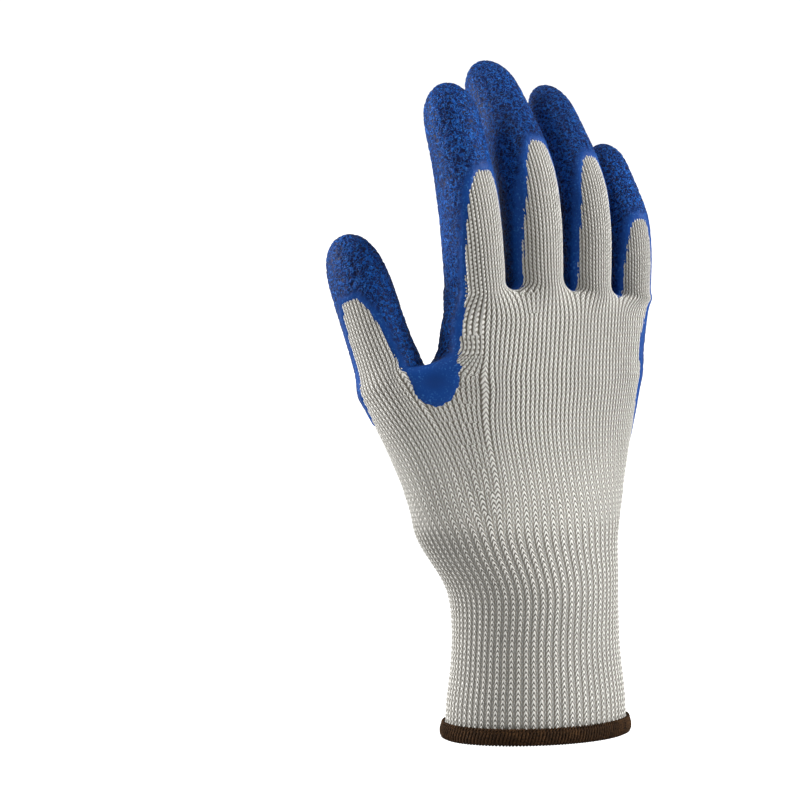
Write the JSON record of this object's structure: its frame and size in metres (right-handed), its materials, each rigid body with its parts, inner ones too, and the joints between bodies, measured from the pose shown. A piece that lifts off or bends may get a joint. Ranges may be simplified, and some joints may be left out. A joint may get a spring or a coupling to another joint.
{
  "type": "latex coated grip glove",
  "caption": "Right-hand knitted work glove with a crinkled latex palm and fingertips, a ribbed cuff and an overlocked hem, shown filled as when worn.",
  "frame": {"origin": "middle of the cuff's mouth, where a wrist goes in", "axes": "+Z from the cuff towards the fingertips, -Y out of the back of the hand, +Y out of the palm, -X towards the thumb"},
  "size_m": [0.1171, 0.0665, 0.2387],
  "materials": {
    "knit": "natural off-white knitted yarn, matt, ribbed on the cuff",
    "latex": "deep blue natural latex with a crinkled grip, a soft sheen on the ridges and a thin smooth rim",
    "overlock": "dark brown overlock thread, matt"
  },
  "bodies": {
    "root": {"knit_liner": "knit", "latex_coating": "latex", "cuff_hem": "overlock"}
  },
  "joints": []
}
